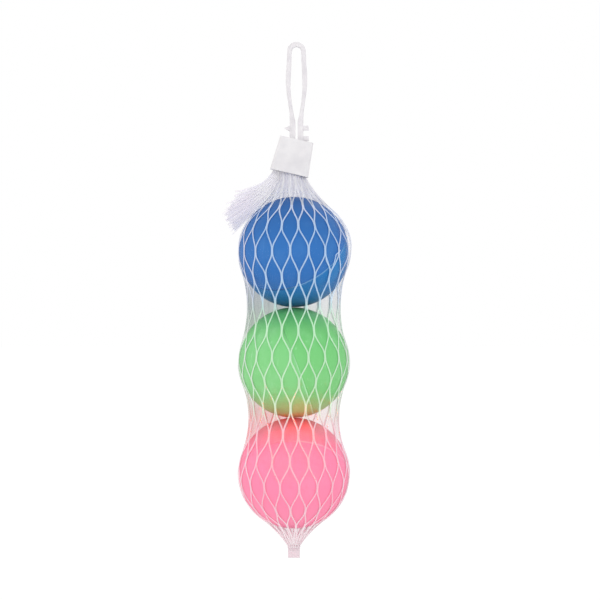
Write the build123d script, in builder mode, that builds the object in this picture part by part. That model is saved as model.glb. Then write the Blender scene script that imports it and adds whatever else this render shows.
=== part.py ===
"""Three rubber play balls in a sleeve of diamond netting, hung from a plastic clip with a strap loop.

Units are millimetres. The origin is the inside top of the strap loop, where a hook bears.
+X is to the right and +Y away from a person who faces the clip, and +Z is up.
"""

from build123d import *

import math
import os

import numpy as np

# Balls, from the top down: the seam's normal, and what the halves on its two sides are called.
BALLS = {
    "blue": ((-0.35, -0.6, 0.72), "top", "bottom"),
    "green": ((0.94, 0.06, 0.35), "right", "left"),
    "pink": ((0.01, 0.64, 0.77), "top", "bottom"),
}
BALL_RADIUS = 31.5
BALL_WALL = 3.0
BALL_PITCH = 63.3  # leaves 0.3 between neighbours
BALL_AXIS_X = -1.5
TOP_BALL_Z = -117.5
LAP_DEPTH = 1.6  # how far the tongue of one half reaches into the rebate of the other
FLASH_HEIGHT = 0.12  # moulding flash left standing along the seam
FLASH_HALF_ANGLE = 0.5  # degrees of the outline that the flash takes up on each side

# Sleeve of netting
STRANDS = 38  # two strands meet at each knot, so a row has 19 knots
STRAND_WIDTH = 0.85
STRAND_THICKNESS = 0.6
STRAND_FILL = 0.92  # largest share of the girth that the strands take up side by side
NECK_FILL = 0.74  # the same where the neck leaves the packed wad
ROW_PITCH = 15.1  # from one row of knots to the next, along the sleeve
KNOT_LENGTH = 3.2
FIRST_STRAND_ANGLE = -89.2
SLEEVE_RADIUS = 32.6  # middle of a strand where it lies on a ball
WAIST_RADIUS = 26.4
NECK_RADIUS = 5.2
NECK_HEIGHT = 42.0  # from the top ball's centre to the narrowest part of the neck
NECK_BEND = 80.0
TAIL_RADIUS = 3.7
TAIL_DEPTH = 41.5  # from the bottom ball's centre to the seal
TAIL_BEND = 60.0
SEAL_WIDTH = 6.6
SEAL_THICKNESS = 1.8
SEAL_LENGTH = 7.0

# Strap loop
STRAP_THICKNESS = 2.7
STRAP_DEPTH = 5.0
STRAP_ROUNDING = 0.6
EYE_HALF_WIDTH = 3.4
EYE_WIDEST_Z = -22.0
EYE_BOTTOM_Z = -43.0
LEG_HALF_WIDTH = 3.9
LEG_SLIT = 1.2
LEG_END_Z = -66.0
LEG_TAPER = 4.0
TEETH_TOP_Z = -45.2
TOOTH_PITCH = 6.1
TOOTH_REACH = 3.2
TOOTH_ROOT = 0.4  # how far a tooth sinks into its leg
TOOTH_DEPTH = 4.2
LUG_HEIGHT = 2.6
LUG_ROWS = (0, 1, 2)
BARB_HEIGHT = 3.4
BARB_ROWS = (0, 2)

# Collar
COLLAR_TOP = (0.2, 0, -53.2)
COLLAR_TILT = 13.0
COLLAR_HEIGHT = 19.8
COLLAR_TOP_WIDTH = 19.5
COLLAR_MOUTH_WIDTH = 22.3
COLLAR_DEPTH = 11.0
COLLAR_WALL = 1.3
COLLAR_CORNER = 1.6
SLOT_SIZE = (9.4, 6.0)
GATHER_TOP = 8.0  # how far under the collar's top the packed netting starts
GATHER_BOTTOM = 19.0

# Where the netting leaves the packed wad: the neck as an oval, the cut end beside it
NECK_OVAL_X = 3.4
NECK_OVAL_SIZE = (4.8, 3.1)
FAN_ROOT_X = (-9.0, -2.4)

# Cut end of the netting, a fan: its upper edge, its furthest corner and its lower edge
FAN_STRANDS = 19
FAN_TIPS = ((-34.7, -82.2), (-42.6, -96.3), (-37.2, -106.8))
FAN_CORNER = 0.55  # how far across the fan the furthest corner is
FAN_BENDS = ((-20.0, -80.6), (-19.5, -87.5))  # where the upper and the lower edge turn outward
FAN_KNOTS = (0.3, 0.68)  # rows of knots, as shares of a strand's length
FAN_KNOT_LENGTH = 0.11
FAN_KNOT_REACH = 0.14  # how far from a knot its two strands still lean towards each other
FAN_KNOT_SPREAD = 0.9  # distance between two strands in a knot, in strand widths
FAN_THICKNESS = 1.2  # the flattened sleeve's two layers

top_ball_centre = Vector(BALL_AXIS_X, 0, TOP_BALL_Z)
bottom_ball_z = TOP_BALL_Z - 2 * BALL_PITCH
neck_z = TOP_BALL_Z + NECK_HEIGHT
seal_z = bottom_ball_z - TAIL_DEPTH

os.makedirs("parts", exist_ok=True)

# ------------------------------------------------------------------- strap loop

# A strap bent into a long eye, with two toothed legs that lie side by side below it.
with BuildPart() as hang_loop:
    with BuildSketch(Plane.XZ):
        with BuildLine():
            crown = CenterArc((0, -STRAP_THICKNESS), 2 * STRAP_THICKNESS, 0, 90)
            side = Spline(
                crown @ 0,
                (EYE_HALF_WIDTH + STRAP_THICKNESS, EYE_WIDEST_Z),
                (LEG_HALF_WIDTH, EYE_BOTTOM_Z),
                tangents=[(0, -1), (0, -1)],
            )
            Polyline(
                side @ 1,
                (LEG_HALF_WIDTH, LEG_END_Z + LEG_TAPER),
                (LEG_HALF_WIDTH - 1, LEG_END_Z),
                (0, LEG_END_Z),
            )
            mirror(about=Plane.YZ)
        make_face()
        with BuildLine():
            crown = CenterArc((0, -STRAP_THICKNESS), STRAP_THICKNESS, 0, 90)
            side = Spline(
                crown @ 0,
                (EYE_HALF_WIDTH, EYE_WIDEST_Z),
                (LEG_SLIT / 2, EYE_BOTTOM_Z),
                tangents=[(0, -1), (-0.25, -1)],
            )
            Polyline(side @ 1, (LEG_SLIT / 2, LEG_END_Z), (0, LEG_END_Z))
            mirror(about=Plane.YZ)
        make_face(mode=Mode.SUBTRACT)
    extrude(amount=STRAP_DEPTH / 2, both=True)
    rims = hang_loop.faces().filter_by(Axis.Y).edges()
    fillet(rims.filter_by(GeomType.BSPLINE) + rims.filter_by(GeomType.CIRCLE), STRAP_ROUNDING)
    with BuildSketch(Plane.XZ):
        for row in LUG_ROWS:
            with Locations((LEG_HALF_WIDTH - TOOTH_ROOT, TEETH_TOP_Z - row * TOOTH_PITCH)):
                Rectangle(TOOTH_REACH + TOOTH_ROOT, LUG_HEIGHT, align=(Align.MIN, Align.MAX))
        for row in BARB_ROWS:
            top = TEETH_TOP_Z - row * TOOTH_PITCH
            with BuildLine():
                Polyline(
                    (TOOTH_ROOT - LEG_HALF_WIDTH, top),
                    (-LEG_HALF_WIDTH - TOOTH_REACH, top - BARB_HEIGHT * 0.4),
                    (TOOTH_ROOT - LEG_HALF_WIDTH, top - BARB_HEIGHT),
                    close=True,
                )
            make_face()
    extrude(amount=TOOTH_DEPTH / 2, both=True)
hang_loop.part.label = "hang_loop"
export_step(hang_loop.part, "parts/hang_loop.step")

# ----------------------------------------------------------------------- collar

tilt = math.radians(COLLAR_TILT)
collar_top_plane = Plane(
    origin=COLLAR_TOP,
    x_dir=(math.cos(tilt), 0, -math.sin(tilt)),
    z_dir=(math.sin(tilt), 0, math.cos(tilt)),
)
gather_plane = collar_top_plane.offset(-GATHER_BOTTOM)


def collar_taper(top_depth, bottom_depth, inset=0):
    """The collar's taper between two depths, with each side moved in by inset."""
    with BuildPart() as taper:
        for depth in (top_depth, bottom_depth):
            share = depth / COLLAR_HEIGHT
            width = COLLAR_TOP_WIDTH + share * (COLLAR_MOUTH_WIDTH - COLLAR_TOP_WIDTH)
            with BuildSketch(collar_top_plane.offset(-depth)):
                RectangleRounded(width - 2 * inset, COLLAR_DEPTH - 2 * inset, COLLAR_CORNER - inset / 2)
        loft()
    return taper.part


# A tapered sleeve, open at the mouth, with a slot in its top for the strap's legs.
with BuildPart() as clip_collar:
    add(collar_taper(0, COLLAR_HEIGHT))
    add(collar_taper(COLLAR_WALL, COLLAR_HEIGHT, COLLAR_WALL), mode=Mode.SUBTRACT)
    with BuildSketch(collar_top_plane):
        RectangleRounded(*SLOT_SIZE, 1)
    extrude(amount=-2 * COLLAR_WALL, mode=Mode.SUBTRACT)
clip_collar.part.label = "clip_collar"
export_step(clip_collar.part, "parts/clip_collar.step")

# The netting packed tight round the strap's legs inside the collar.
with BuildPart() as net_gather:
    add(collar_taper(GATHER_TOP, GATHER_BOTTOM, COLLAR_WALL))
    add(hang_loop.part, mode=Mode.SUBTRACT)
net_gather.part.label = "net_gather"
export_step(net_gather.part, "parts/net_gather.step")

# ------------------------------------------------------------------------ balls


def make_ball_half(label, centre, seam_normal, has_tongue):
    """Half of a hollow ball. The half with the tongue reaches into the rebate of the other half."""
    inner = BALL_RADIUS - BALL_WALL
    middle = BALL_RADIUS - BALL_WALL / 2
    lip = BALL_RADIUS + FLASH_HEIGHT
    seam = Plane(origin=centre, z_dir=seam_normal)
    with BuildPart() as half:
        with BuildSketch(Plane(origin=centre, x_dir=seam.x_dir, z_dir=-seam.y_dir)):
            with BuildLine():
                if has_tongue:
                    outside = CenterArc((0, 0), BALL_RADIUS, FLASH_HALF_ANGLE, 90 - FLASH_HALF_ANGLE)
                    inside = CenterArc((0, 0), inner, 0, 90)
                    foot = (inner, -LAP_DEPTH)
                else:
                    start = -math.degrees(math.asin(LAP_DEPTH / inner))
                    outside = CenterArc((0, 0), BALL_RADIUS, -FLASH_HALF_ANGLE, FLASH_HALF_ANGLE - 90)
                    inside = CenterArc((0, 0), inner, start, -90 - start)
                    foot = inside @ 0
                Line(outside @ 1, inside @ 1)
                if has_tongue:
                    Line(inside @ 0, foot)
                Polyline(foot, (middle, -LAP_DEPTH), (middle, 0), (lip, 0), outside @ 0)
            make_face()
        revolve(axis=Axis(centre, seam_normal))
    half.part.label = label
    export_step(half.part, f"parts/{label}.step")


for index, (colour, (seam_normal, tongue_side, rebate_side)) in enumerate(BALLS.items()):
    centre = top_ball_centre - Vector(0, 0, index * BALL_PITCH)
    make_ball_half(f"{colour}_ball_{tongue_side}_half", centre, seam_normal, True)
    make_ball_half(f"{colour}_ball_{rebate_side}_half", centre, seam_normal, False)

# ------------------------------------------------------------ outline of the sleeve


def flare_radius(height, end_radius, end_height, bend):
    """Radius of a flare at a height from a ball's centre, or None where the netting lies on the ball.

    The flare is an arc of radius bend, tangent to the sleeve on the ball, that ends at
    end_radius and end_height.
    """
    reach = SLEEVE_RADIUS + bend
    end = math.hypot(end_radius, end_height)
    turn = math.acos((reach**2 + end**2 - bend**2) / (2 * reach * end))
    angle = math.atan2(end_height, end_radius) - turn
    if height <= SLEEVE_RADIUS * math.sin(angle):
        return None
    return reach * math.cos(angle) - math.sqrt(bend**2 - (height - reach * math.sin(angle)) ** 2)


def waist_radius(height):
    """Radius between two balls at a height from the nearer centre, or None on the ball."""
    half = BALL_PITCH / 2
    bend = (WAIST_RADIUS**2 + half**2 - SLEEVE_RADIUS**2) / (2 * (SLEEVE_RADIUS - WAIST_RADIUS))
    if height <= SLEEVE_RADIUS * half / (SLEEVE_RADIUS + bend):
        return None
    return WAIST_RADIUS + bend - math.sqrt(bend**2 - (half - height) ** 2)


def sleeve_radius(z):
    """Radius of the middle of the strands at a height."""
    if z > TOP_BALL_Z:
        height = min(z - TOP_BALL_Z, NECK_HEIGHT)
        radius = flare_radius(height, NECK_RADIUS, NECK_HEIGHT, NECK_BEND)
    elif z < bottom_ball_z:
        height = bottom_ball_z - z
        radius = flare_radius(height, TAIL_RADIUS, TAIL_DEPTH, TAIL_BEND)
    else:
        height = abs((TOP_BALL_Z - z + BALL_PITCH / 2) % BALL_PITCH - BALL_PITCH / 2)
        radius = waist_radius(height)
    return math.sqrt(SLEEVE_RADIUS**2 - height**2) if radius is None else radius


# Depth below the top ball's centre, and length along the outline from the same level.
depths = np.linspace(TOP_BALL_Z - neck_z, TOP_BALL_Z - seal_z, 4000)
radii = np.array([sleeve_radius(TOP_BALL_Z - depth) for depth in depths])
lengths = np.concatenate([[0], np.cumsum(np.hypot(np.diff(depths), np.diff(radii)))])
lengths = lengths - np.interp(0, depths, lengths)


def length_at(z):
    """Length along the outline, from the top ball's equator down to a height."""
    return float(np.interp(TOP_BALL_Z - z, depths, lengths))


def z_at(length):
    """Height at a length along the outline, below the top ball's equator."""
    return TOP_BALL_Z - float(np.interp(length, lengths, depths))


# ---------------------------------------------------------------------- netting


def radial(angle):
    """Unit vector at an angle in degrees round the sleeve's axis."""
    return Vector(math.cos(math.radians(angle)), math.sin(math.radians(angle)), 0)


def lean(length, strand):
    """Which neighbour a strand bends to: 1 or -1 in a knot with the next strand or the last."""
    row = math.floor(length / ROW_PITCH)
    free_share = (length - row * ROW_PITCH - KNOT_LENGTH / 2) / (ROW_PITCH - KNOT_LENGTH)
    side = 1 if (row + strand) % 2 else -1
    return side * (1 - 2 * min(max(free_share, 0), 1))


def sleeve_section(length, strand):
    """Plane across a strand at a length along the sleeve, and the strand's width there."""
    z = z_at(length)
    radius = sleeve_radius(z)
    width = min(STRAND_WIDTH, STRAND_FILL * 2 * math.pi * radius / STRANDS)
    bend = lean(length, strand)
    angle = FIRST_STRAND_ANGLE + (strand + bend / 2) * 360 / STRANDS
    outward, across = radial(angle), radial(angle + 90)
    origin = Vector(BALL_AXIS_X, 0, z) + outward * radius - across * (bend * width / 2)
    run = outward * (sleeve_radius(z - 0.1) - sleeve_radius(z + 0.1)) - Vector(0, 0, 0.2)
    if z < seal_z + 0.01:
        run = Vector(0, 0, -1)
    return Plane(origin=origin, x_dir=across, z_dir=run), width


def neck_section(strand):
    """Plane across a strand where the neck leaves the packed wad, and the strand's width there."""
    angle = math.radians(FIRST_STRAND_ANGLE + strand * 360 / STRANDS)
    half_width, half_depth = NECK_OVAL_SIZE
    spot = (NECK_OVAL_X + half_width * math.cos(angle), half_depth * math.sin(angle))
    across = gather_plane.from_local_coords(
        (spot[0] - half_width * math.sin(angle), spot[1] + half_depth * math.cos(angle))
    )
    origin = gather_plane.from_local_coords(spot)
    girth = math.pi * math.sqrt(2 * (half_width**2 + half_depth**2))
    section = Plane(origin=origin, x_dir=across - origin, z_dir=-gather_plane.z_dir)
    return section, NECK_FILL * girth / STRANDS


def sleeve_lengths(top, bottom):
    """Where a strand has sections between two heights: both ends of the band and of each knot."""
    start, end = length_at(top), length_at(bottom)
    rows = range(math.floor(start / ROW_PITCH), math.ceil(end / ROW_PITCH) + 1)
    knots = [row * ROW_PITCH + half for row in rows for half in (-KNOT_LENGTH / 2, KNOT_LENGTH / 2)]
    return [start] + [length for length in knots if start < length < end] + [end]


def make_strand(strand, top, bottom):
    """One strand of the sleeve between two heights. At the neck it starts in the packed wad."""
    sections = [sleeve_section(length, strand) for length in sleeve_lengths(top, bottom)]
    if top == neck_z:
        sections[0] = neck_section(strand)
    with BuildPart() as run:
        for plane, width in sections:
            with BuildSketch(plane):
                Rectangle(width, STRAND_THICKNESS)
        loft(ruled=True, clean=False)
    return run.part


def make_band(label, top, bottom):
    """The sleeve between two heights, its strands joined where they meet in the knots."""
    with BuildPart() as band:
        add([make_strand(strand, top, bottom) for strand in range(STRANDS)], clean=False)
    band.part.label = label
    export_step(band.part, f"parts/{label}.step")


waist_z = [TOP_BALL_Z - (index + 0.5) * BALL_PITCH for index in range(2)]
band_edges = [neck_z, *waist_z, seal_z]
for name, top, bottom in zip(("upper", "middle", "lower"), band_edges, band_edges[1:]):
    make_band(f"net_{name}_band", top, bottom)

# --------------------------------------------------------------------- cut end


def fan_point(share, along):
    """A point of the fan, at shares of the way across it and along it."""
    root = gather_plane.from_local_coords((FAN_ROOT_X[0] + share * (FAN_ROOT_X[1] - FAN_ROOT_X[0]), 0))
    bend_x, bend_z = (np.interp(share, (0, 1), ends) for ends in zip(*FAN_BENDS))
    tip_x, tip_z = (np.interp(share, (0, FAN_CORNER, 1), ends) for ends in zip(*FAN_TIPS))
    bend, tip = Vector(bend_x, 0, bend_z), Vector(tip_x, 0, tip_z)
    return root * (1 - along) ** 2 + bend * (2 * along * (1 - along)) + tip * along**2


def fan_edges(strand, along):
    """The two edges of a strand of the fan."""
    nearest = min(FAN_KNOTS, key=lambda knot: abs(knot - along))
    side = 1 if (FAN_KNOTS.index(nearest) + strand) % 2 else -1
    loose = max(abs(along - nearest) - FAN_KNOT_LENGTH / 2, 0)
    bend = side * max(1 - loose / FAN_KNOT_REACH, 0)
    share = (strand + 0.5 + bend / 2) / FAN_STRANDS
    across = fan_point(share + 0.01, along) - fan_point(share - 0.01, along)
    spacing = across.length / 0.02 / FAN_STRANDS
    half = across.normalized() * (min(STRAND_WIDTH, STRAND_FILL * spacing) / 2)
    middle = fan_point(share, along) - half * (bend * FAN_KNOT_SPREAD)
    return middle - half, middle + half


fan_stations = [0, 1]
for knot in FAN_KNOTS:
    fan_stations += [knot - FAN_KNOT_LENGTH / 2, knot + FAN_KNOT_LENGTH / 2]
fan_stations.sort()

# The loose end of the sleeve, pressed flat: strands in one plane, joined in two rows of knots.
with BuildPart() as net_cut_end:
    with BuildSketch(Plane.XZ):
        for strand in range(FAN_STRANDS):
            lower_edge, upper_edge = zip(*[fan_edges(strand, along) for along in fan_stations])
            outline = [(point.X, point.Z) for point in lower_edge + upper_edge[::-1]]
            with BuildLine():
                Polyline(*outline, close=True)
            make_face()
    extrude(amount=FAN_THICKNESS / 2, both=True)
net_cut_end.part.label = "net_cut_end"
export_step(net_cut_end.part, "parts/net_cut_end.step")

# ------------------------------------------------------------------------- seal

# The bottom of the netting, melted and pressed flat into a short tab.
with BuildPart() as net_tail_seal:
    with BuildSketch(Plane.XY.offset(seal_z)):
        with Locations((BALL_AXIS_X, 0)):
            Circle(TAIL_RADIUS + STRAND_THICKNESS / 2)
    with BuildSketch(Plane.XY.offset(seal_z - SEAL_LENGTH / 3)) as tab:
        with Locations((BALL_AXIS_X, 0)):
            RectangleRounded(SEAL_WIDTH, SEAL_THICKNESS, SEAL_THICKNESS / 3)
    loft()
    extrude(tab.sketch, amount=-SEAL_LENGTH * 2 / 3)
net_tail_seal.part.label = "net_tail_seal"
export_step(net_tail_seal.part, "parts/net_tail_seal.step")
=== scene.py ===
"""Three rubber play balls in a sleeve of diamond netting, hung from a plastic clip: the looks.

Shapes are worked out in millimetres in the frame's own axes, and made in metres.
"""

import math
import random

import bpy
import numpy as np
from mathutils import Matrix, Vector


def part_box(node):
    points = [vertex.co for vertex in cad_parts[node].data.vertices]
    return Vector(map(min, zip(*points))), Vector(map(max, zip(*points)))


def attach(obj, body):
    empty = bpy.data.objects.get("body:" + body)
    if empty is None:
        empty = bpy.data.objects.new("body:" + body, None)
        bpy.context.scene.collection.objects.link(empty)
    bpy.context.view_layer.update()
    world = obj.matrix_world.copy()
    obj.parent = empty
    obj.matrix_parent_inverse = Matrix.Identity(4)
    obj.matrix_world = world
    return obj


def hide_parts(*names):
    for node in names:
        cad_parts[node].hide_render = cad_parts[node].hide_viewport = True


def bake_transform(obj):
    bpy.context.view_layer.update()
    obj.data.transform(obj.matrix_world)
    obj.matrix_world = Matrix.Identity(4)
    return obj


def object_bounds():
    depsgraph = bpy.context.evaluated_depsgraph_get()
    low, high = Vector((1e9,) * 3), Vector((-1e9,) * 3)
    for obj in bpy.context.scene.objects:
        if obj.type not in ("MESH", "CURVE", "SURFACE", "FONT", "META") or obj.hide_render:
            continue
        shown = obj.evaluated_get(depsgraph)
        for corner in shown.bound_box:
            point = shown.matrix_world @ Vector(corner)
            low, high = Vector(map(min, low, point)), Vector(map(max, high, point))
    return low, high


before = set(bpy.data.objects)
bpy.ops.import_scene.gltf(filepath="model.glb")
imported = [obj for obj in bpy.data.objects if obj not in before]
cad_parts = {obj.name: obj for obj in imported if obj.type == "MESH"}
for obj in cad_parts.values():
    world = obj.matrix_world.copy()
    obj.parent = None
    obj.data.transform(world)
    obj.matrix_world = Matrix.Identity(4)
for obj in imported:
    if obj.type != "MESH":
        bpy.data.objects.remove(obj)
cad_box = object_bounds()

MM = 0.001

# ------------------------------------------------------------------ sizes, in mm

# Balls, from the top down: the seam's normal, its lip, and what the halves on its two sides are called.
BALLS = {
    "blue": ((-0.35, -0.6, 0.72), 0.5, "top", "bottom"),
    "green": ((0.94, 0.06, 0.35), 0.1, "right", "left"),
    "pink": ((0.01, 0.64, 0.77), 0.1, "top", "bottom"),
}
BALL_RADIUS = 31.6
BALL_WALL = 3.0
LIP_REACH = 5.0  # the second half comes back up to the ball's radius over this length
GROOVE_WIDTH, GROOVE_DEPTH = 0.35, 0.8  # its depth is in lips, and so is the flash's height
FLASH_PLACE, FLASH_WIDTH, FLASH_HEIGHT = 0.7, 0.4, 0.5
SEAM_LINE_PLACE, SEAM_LINE_WIDTH = 0.2, 0.55  # of the line along the seam, painted shade on its left and a painted highlight on its right

# Netting
STRANDS = 38
STRAND_WIDTH = 0.85
STRAND_THICKNESS = 0.4
BUNCHED_FILL = 0.62  # largest share of the girth that the strands take up side by side
LEAST_GIRTH_RADIUS = 5.0  # where the sleeve is slimmer, the strands get no narrower
RINGS_PER_MM = 0.9
ROW_PITCH = 15.1
ROWS = range(-6, 16)  # rows of knots, counted down from the top ball's middle
KNOT_LENGTH = 2.0
KNOT_SQUEEZE = 0.55  # how far apart two strands lie in a knot, in strand widths
FIRST_STRAND_ANGLE = -89.2

# Outline of the sleeve, through the middle of its strands. A bend is the radius of a flare's curve.
SLEEVE_RADIUS = 32.05
WAIST_RADII = (26.6, 25.8)
NECK_RADIUS, NECK_HEIGHT, NECK_BEND = 6.4, 42.0, 130.0
TAIL_RADIUS, TAIL_DEPTH, TAIL_BEND = 3.2, 42.0, 60.0
OUTLINE_POINTS = 6000

# Heights over the top ball's middle, above which the strands stray, count as bunched, and turn to the collar
STRAY_HEIGHT, SHOULDER_HEIGHT, TURN_HEIGHT = 22.0, 26.0, 33.0
STRAY_SPAN = 22.0  # over this height they come to stray in full
NECK_BLEND = (-72.0, -81.0)  # heights between which the neck turns from the clip to the sleeve
TONES_BOTTOM_Z, TONES_TOP_Z = -295.0, -70.0  # the ends of the netting's run of tones

# Slack fold, where the sleeve stands off the top ball: its reach, its middle and its size
FOLD_REACH = 1.6
FOLD_DEGREES, FOLD_HEIGHT = -4.0, 13.0
FOLD_WIDTH_DEGREES, FOLD_LENGTH = 20.0, 14.0

# Skin between the strands
SKIN_AROUND = 144
SKIN_STEP = 1.5
SKIN_INSET = 0.1  # inside the strands' middle
PLEATS, PLEAT_HEIGHT = 18, 0.35
NECK_COVER, WAIST_COVERS, TAIL_COVER = 0.88, (0.78, 0.64), 0.6  # share that it hides where it is bunched
SKIN_START = 31.0  # above or below a ball's middle, where the bunched skin of neck and tail sets in

# Pulled thread, from turn to turn: height over the top ball's middle, and degrees round the sleeve
SNAG_TURNS = (
    (1.4, -57.3), (-5.3, -55.5), (-11.1, -47.0), (-9.5, -45.5), (-2.0, -42.8), (-0.4, -38.5), (0.6, -35.0),
)
SNAG_POINTS = 60
SNAG_WIDTH = 0.7
SNAG_LIFT = 0.45

# Collar, and the netting that goes into it
COLLAR_TILT = math.radians(13.0)
COLLAR_HEIGHT = 19.8
MOUTH_WIDTH = 22.3
MOUTH_OVAL_X = 1.4  # from the mouth's middle to the middle of the neck
MOUTH_OVAL_SIZE = (8.4, 3.3)
BUNDLE_RISE = 6.0  # how far the neck's strands reach up into the collar
WAD_HALF_SIZE = (9.0, 3.9)
WAD_TOP, WAD_LENGTH = 9.0, 9.8  # its top is measured down from the collar's

# Fan of cut netting. A share is counted from its left edge, whose bend and tip come first, as X and Z.
FAN_STRANDS = 26
FAN_ROOT, FAN_ROOT_WIDTH = -9.0, 7.4  # its left edge is measured from the mouth's middle
FAN_BENDS = ((-20.0, -82.0), (-16.6, -88.8))
FAN_TIPS = ((-37.5, -82.6), (-43.0, -96.3), (-37.2, -107.2))
FAN_CORNER = 0.55  # share at which the cut edge has its corner
FAN_ROOT_RISE = 0.5  # how far above the mouth it starts to fan out
FAN_LENGTH = 35.0  # counts only for how far its strands reach up into the collar
FAN_SIDEWAYS = Vector((0.55, 0, -0.83))
FAN_RAGGED = 0.6  # share up to which the cut is ragged
FAN_BULGE = 4.0
FAN_SWAY, FAN_WAVES = 0.45, 1.25
FAN_STRAND_WIDTHS = (0.36, 0.86)  # at its root and at its tips
FRINGE_LAYERS = (-0.6, 0.85)
FRINGE_COVER = 0.94

# Heat seal
SEAL_OVERLAP = 1.0  # how far the strands reach down into it
SEAL_REACH = 1.5  # how far the sleeve's outline is worked out below the seal's top
SEAL_WIDTH = 6.6
SEAL_THICKNESS = 1.5
THROAT_RADIUS = 3.6
SEAL_RIBS, RIB_HEIGHT = 18, 0.09
CRIMPS, CRIMP_HEIGHT = 3, 0.1

# ------------------------------------------------------------ places, in mm, from the frame


def node_centre(*nodes):
    """Middle of the box round some CAD nodes."""
    corners = [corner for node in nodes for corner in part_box(node)]
    lo = [min(c[i] for c in corners) for i in range(3)]
    hi = [max(c[i] for c in corners) for i in range(3)]
    return Vector((a + b) / 2 / MM for a, b in zip(lo, hi))


ball_centres = {
    colour: node_centre(*(f"{colour}_ball_{side}_half" for side in sides))
    for colour, (_, _, *sides) in BALLS.items()
}
axis_x = ball_centres["green"].x
ball_z = [ball_centres[colour].z for colour in BALLS]
pitch = (ball_z[0] - ball_z[2]) / 2
waist_z = [ball_z[0] - pitch / 2, ball_z[1] - pitch / 2]
shoulder_z = ball_z[0] + SHOULDER_HEIGHT
seal_bottom_z, seal_top_z = (corner[2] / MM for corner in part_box("net_tail_seal"))

collar_left, _, collar_bottom = (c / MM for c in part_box("clip_collar")[0])
collar_down = Vector((-math.sin(COLLAR_TILT), 0, -math.cos(COLLAR_TILT)))
collar_right = Vector((math.cos(COLLAR_TILT), 0, -math.sin(COLLAR_TILT)))
# The mouth runs from the collar's leftmost corner to its lowest one.
mouth_centre = Vector((collar_left, 0, collar_bottom)) + MOUTH_WIDTH / 2 * Vector(
    (math.cos(COLLAR_TILT), 0, math.sin(COLLAR_TILT)))
bundle_top_z = mouth_centre.z + BUNDLE_RISE

# --------------------------------------------------------------------- arithmetic


def smooth(share):
    """0 to 1 with a gentle start and end."""
    share = min(max(share, 0), 1)
    return share * share * (3 - 2 * share)


def peak(place, middle, width):
    """A soft peak of height 1."""
    return math.exp(-(((place - middle) / width) ** 2))


def linear(hex_colour):
    """A linear RGBA colour from an sRGB hex value."""
    channels = [int(hex_colour[i : i + 2], 16) / 255 for i in (1, 3, 5)]
    return [c / 12.92 if c <= 0.04045 else ((c + 0.055) / 1.055) ** 2.4 for c in channels] + [1]


# ------------------------------------------------------------- materials: helpers


def node(material, kind, sockets=None, **settings):
    """Adds a shader node. A socket, named or numbered, takes a value or the output of another node."""
    made = material.node_tree.nodes.new(kind)
    for name, value in settings.items():
        setattr(made, name, value)
    for name, value in (sockets or {}).items():
        if isinstance(value, bpy.types.NodeSocket):
            material.node_tree.links.new(value, made.inputs[name])
        else:
            made.inputs[name].default_value = value
    return made


def new_material(name, **finish):
    """A material with a Principled shader and the object's own coordinates in mm."""
    material = bpy.data.materials.new(name)
    material.use_nodes = True
    shader = material.node_tree.nodes["Principled BSDF"]
    for socket, value in finish.items():
        shader.inputs[socket.replace("_", " ")].default_value = value
    place = node(material, "ShaderNodeTexCoord")
    scale = node(material, "ShaderNodeVectorMath",
                 {0: place.outputs["Object"], "Scale": 1 / MM}, operation="SCALE")
    return material, shader, scale.outputs[0]


def add_relief(material, shader, mm, grain, detail, strength, depth):
    """A fine relief over the whole surface, from the size of its grains and its depth in mm."""
    grains = node(material, "ShaderNodeTexNoise", {"Vector": mm, "Scale": 1 / grain, "Detail": detail})
    bump = node(material, "ShaderNodeBump",
                {"Height": grains.outputs["Fac"], "Strength": strength, "Distance": depth * MM})
    material.node_tree.links.new(bump.outputs["Normal"], shader.inputs["Normal"])


def tones_by_height(material, mm, low, high, stops):
    """Colours that change with height between two levels, from (share of the way up, colour) stops."""
    axes = node(material, "ShaderNodeSeparateXYZ", {"Vector": mm})
    height = node(material, "ShaderNodeMapRange",
                  {"Value": axes.outputs["Z"], "From Min": low, "From Max": high})
    tones = node(material, "ShaderNodeValToRGB", {"Fac": height.outputs["Result"]})
    while len(tones.color_ramp.elements) < len(stops):
        tones.color_ramp.elements.new(0.5)
    for stop, (share, colour) in zip(tones.color_ramp.elements, stops):
        stop.position = share
        stop.color = linear(colour)
    return tones.outputs["Color"]


def pale_towards(material, mm, tones, measure, span, colour, share):
    """Tones that turn paler across a span of X, or with ABSOLUTE, of the distance from X = 0."""
    side = node(material, "ShaderNodeSeparateXYZ", {"Vector": mm})
    distance = node(material, "ShaderNodeMath", {0: side.outputs["X"], 1: 0}, operation=measure)
    paling = node(material, "ShaderNodeMapRange",
                  {"Value": distance.outputs[0], "From Min": span[0], "From Max": span[1], "To Max": share})
    return node(material, "ShaderNodeMix", {0: paling.outputs["Result"], 6: tones, 7: linear(colour)},
                data_type="RGBA").outputs[2]


def let_light_through(material, shader, colour, alpha, share):
    """Makes thin plastic glow with the light behind it, and thins it out to clear by its alpha."""
    through = node(material, "ShaderNodeBsdfTranslucent", {"Color": colour})
    body = node(material, "ShaderNodeMixShader", {0: share, 1: shader.outputs[0], 2: through.outputs[0]})
    clear = node(material, "ShaderNodeBsdfTransparent")
    film = node(material, "ShaderNodeMixShader", {0: alpha, 1: clear.outputs[0], 2: body.outputs[0]})
    output = material.node_tree.nodes["Material Output"]
    material.node_tree.links.new(film.outputs[0], output.inputs["Surface"])


# ------------------------------------------------------------------- materials


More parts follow.
